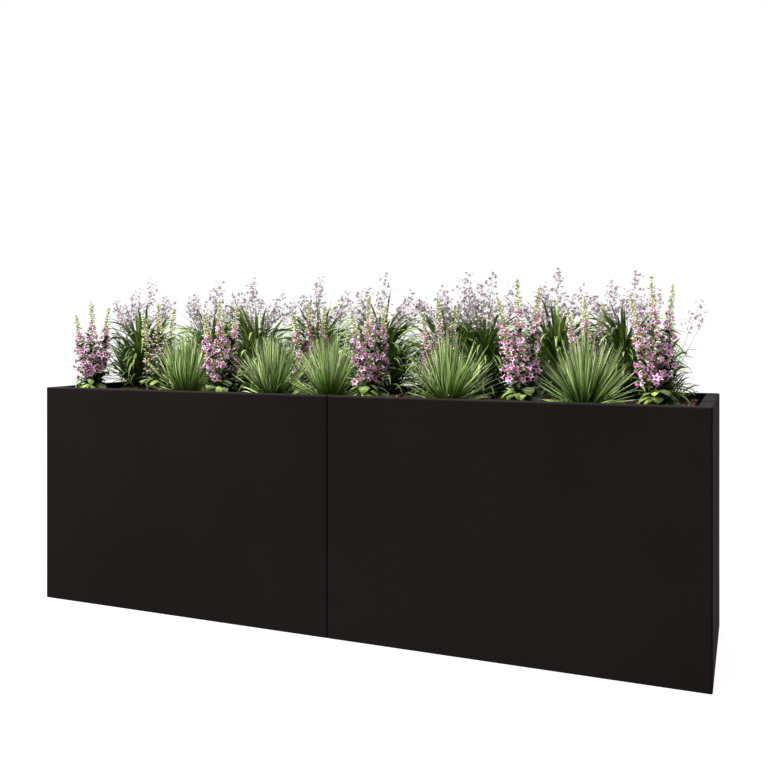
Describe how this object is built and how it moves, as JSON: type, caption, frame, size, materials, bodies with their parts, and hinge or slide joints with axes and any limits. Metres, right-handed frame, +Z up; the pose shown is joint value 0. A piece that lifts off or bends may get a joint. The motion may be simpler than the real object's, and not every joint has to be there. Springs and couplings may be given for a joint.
{
  "type": "rectangular planter box with raised floor",
  "caption": "Long rectangular sheet-metal planter box with a folded rim, a hidden raised floor on legs with levelling feet, and mixed flower and grass planting.",
  "frame": {"origin": "on the ground, under the middle of the planter", "axes": "+X along the length to the right, -Y to the front, +Z up"},
  "size_m": [2.4, 0.6, 1.24],
  "materials": {
    "shell_coat": "matte",
    "frame_zinc": "matte",
    "fastener_zinc": "satin",
    "gasket_rubber": "matte",
    "foot_plastic": "matte",
    "spout_plastic": "satin",
    "liner_fleece": "matte",
    "mat_fleece": "matte",
    "soil_bark": "matte",
    "flower_clump": "matte",
    "grass_tuft": "matte",
    "perennial": "matte"
  },
  "bodies": {
    "planter": {"back_panel_left": "shell_coat", "back_panel_right": "shell_coat", "bearer_back": "frame_zinc", "bearer_front": "frame_zinc", "corner_studs": "fastener_zinc", "cross_rails": "frame_zinc", "drain_spouts": "spout_plastic", "drainage_mat": "mat_fleece", "end_panel_left": "shell_coat", "end_panel_right": "shell_coat", "flange_nuts": "fastener_zinc", "floor_pan_left": "frame_zinc", "floor_pan_right": "frame_zinc", "flower_clump_1": "flower_clump", "flower_clump_2": "flower_clump", "flower_clump_3": "flower_clump", "flower_clump_4": "flower_clump", "flower_clump_5": "flower_clump", "flower_clump_6": "flower_clump", "flower_clump_7": "flower_clump", "flower_clump_8": "flower_clump", "flower_clump_9": "flower_clump", "foot_inserts": "fastener_zinc", "foot_locknuts": "fastener_zinc", "front_panel_left": "shell_coat", "front_panel_right": "shell_coat", "grass_tuft_1": "grass_tuft", "grass_tuft_2": "grass_tuft", "grass_tuft_3": "grass_tuft", "grass_tuft_4": "grass_tuft", "grass_tuft_5": "grass_tuft", "leg_back_centre": "frame_zinc", "leg_back_left": "frame_zinc", "leg_back_right": "frame_zinc", "leg_front_centre": "frame_zinc", "leg_front_left": "frame_zinc", "leg_front_right": "frame_zinc", "liner_sheets": "liner_fleece", "panel_stiffeners": "frame_zinc", "perennial_1": "perennial", "perennial_10": "perennial", "perennial_2": "perennial", "perennial_3": "perennial", "perennial_4": "perennial", "perennial_5": "perennial", "perennial_6": "perennial", "perennial_7": "perennial", "perennial_8": "perennial", "perennial_9": "perennial", "seam_bolts": "fastener_zinc", "seam_gaskets": "gasket_rubber", "soil_fill": "soil_bark", "tie_rod_nuts": "fastener_zinc", "tie_rods": "fastener_zinc"},
    "foot_back_centre": {"levelling_foot_back_centre": "foot_plastic"},
    "foot_back_left": {"levelling_foot_back_left": "foot_plastic"},
    "foot_back_right": {"levelling_foot_back_right": "foot_plastic"},
    "foot_front_centre": {"levelling_foot_front_centre": "foot_plastic"},
    "foot_front_left": {"levelling_foot_front_left": "foot_plastic"},
    "foot_front_right": {"levelling_foot_front_right": "foot_plastic"}
  },
  "joints": [
    {"name": "foot_back_centre_slide", "type": "slide", "parent": "planter", "child": "foot_back_centre", "axis": [0, 0, -1], "range_m": [0, 0.03]},
    {"name": "foot_back_left_slide", "type": "slide", "parent": "planter", "child": "foot_back_left", "axis": [0, 0, -1], "range_m": [0, 0.03]},
    {"name": "foot_back_right_slide", "type": "slide", "parent": "planter", "child": "foot_back_right", "axis": [0, 0, -1], "range_m": [0, 0.03]},
    {"name": "foot_front_centre_slide", "type": "slide", "parent": "planter", "child": "foot_front_centre", "axis": [0, 0, -1], "range_m": [0, 0.03]},
    {"name": "foot_front_left_slide", "type": "slide", "parent": "planter", "child": "foot_front_left", "axis": [0, 0, -1], "range_m": [0, 0.03]},
    {"name": "foot_front_right_slide", "type": "slide", "parent": "planter", "child": "foot_front_right", "axis": [0, 0, -1], "range_m": [0, 0.03]}
  ]
}
